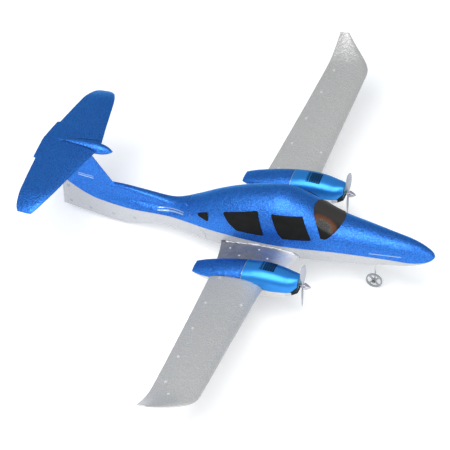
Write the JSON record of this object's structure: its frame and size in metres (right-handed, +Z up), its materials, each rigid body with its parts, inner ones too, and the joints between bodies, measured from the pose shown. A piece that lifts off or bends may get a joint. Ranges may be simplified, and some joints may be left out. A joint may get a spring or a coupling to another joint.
{
  "type": "twin-engine foam model aeroplane",
  "caption": "Foam model aeroplane with an engine pod under each wing, a T tail, turned-up wing tips and fixed wheels on wire legs.",
  "frame": {"origin": "on the ground, midway along the length and the span", "axes": "+X towards the nose, +Y towards the left wing tip, +Z up; the wheels stand on Z = 0"},
  "size_m": [0.3849, 0.548, 0.0929],
  "materials": {
    "blue_foam": "moulded foam, metallic blue paint",
    "white_foam": "moulded foam, silver white",
    "blue_plastic": "glossy metallic blue moulding",
    "vent_plastic": "dark blue",
    "dark_film": "dark printed film",
    "black_plastic": "satin black",
    "propeller_plastic": "smoky clear plastic",
    "spinner_plastic": "silver white",
    "wheel_plastic": "grey moulding",
    "white_plastic": "white moulding",
    "carbon": "pultruded carbon rod",
    "steel": "bright wire and shafts",
    "motor_can": "bright drawn can",
    "plywood": "thin plywood",
    "battery_foil": "foil-wrapped flat cell",
    "circuit_board": "green lacquered board"
  },
  "bodies": {
    "airframe": {"fuselage_upper": "blue_foam", "fuselage_lower": "white_foam", "tail_boom": "blue_foam", "tail_keel": "white_foam", "tailplane": "blue_foam", "wing_left": "white_foam", "wing_right": "white_foam", "pod_left": "blue_foam", "pod_right": "blue_foam", "cowl_left": "blue_plastic", "cowl_right": "blue_plastic", "vent_left": "vent_plastic", "vent_right": "vent_plastic", "intake_left": "black_plastic", "intake_right": "black_plastic", "wing_spars": "carbon", "spar_joiner": "black_plastic", "motor_left": "motor_can", "motor_right": "motor_can", "motor_mount_left": "black_plastic", "motor_mount_right": "black_plastic", "windscreen": "dark_film", "side_windows_left": "dark_film", "side_windows_right": "dark_film", "equipment_tray": "plywood", "battery": "battery_foil", "receiver_board": "circuit_board", "power_switch": "black_plastic", "hatch_hinge": "white_plastic", "hatch_pin": "steel", "nose_leg_socket": "white_plastic", "nose_leg": "steel", "main_leg_sockets": "white_plastic", "main_leg_left": "steel", "main_leg_right": "steel", "wheel_collars": "black_plastic"},
    "propeller_left": {"propeller_left": "propeller_plastic", "spinner_left": "spinner_plastic", "motor_shaft_left": "steel"},
    "propeller_right": {"propeller_right": "propeller_plastic", "spinner_right": "spinner_plastic", "motor_shaft_right": "steel"},
    "nose_wheel": {"nose_wheel": "wheel_plastic"},
    "main_wheel_left": {"main_wheel_left": "wheel_plastic"},
    "main_wheel_right": {"main_wheel_right": "wheel_plastic"},
    "battery_hatch": {"battery_hatch": "white_foam", "hatch_leaf": "white_plastic"},
    "switch_knob": {"switch_knob": "white_plastic"}
  },
  "joints": [
    {"name": "propeller_spin_left", "type": "hinge", "parent": "airframe", "child": "propeller_left", "pos_m": [0.0896, 0.067, 0.0448], "axis": [1, 0, 0], "continuous": true},
    {"name": "propeller_spin_right", "type": "hinge", "parent": "airframe", "child": "propeller_right", "pos_m": [0.0896, -0.067, 0.0448], "axis": [1, 0, 0], "continuous": true},
    {"name": "nose_wheel_spin", "type": "hinge", "parent": "airframe", "child": "nose_wheel", "pos_m": [0.1375, 0, 0.0078], "axis": [0, 1, 0], "continuous": true},
    {"name": "main_wheel_spin_left", "type": "hinge", "parent": "airframe", "child": "main_wheel_left", "pos_m": [0.004, 0.067, 0.0078], "axis": [0, 1, 0], "continuous": true},
    {"name": "main_wheel_spin_right", "type": "hinge", "parent": "airframe", "child": "main_wheel_right", "pos_m": [0.004, -0.067, 0.0078], "axis": [0, 1, 0], "continuous": true},
    {"name": "battery_hatch_swing", "type": "hinge", "parent": "airframe", "child": "battery_hatch", "pos_m": [0.121, 0, 0.02918], "axis": [0, -1, 0], "range_deg": [0, 45]},
    {"name": "power_switch_slide", "type": "slide", "parent": "airframe", "child": "switch_knob", "axis": [1, 0, 0], "range_m": [0, 0.002]}
  ]
}
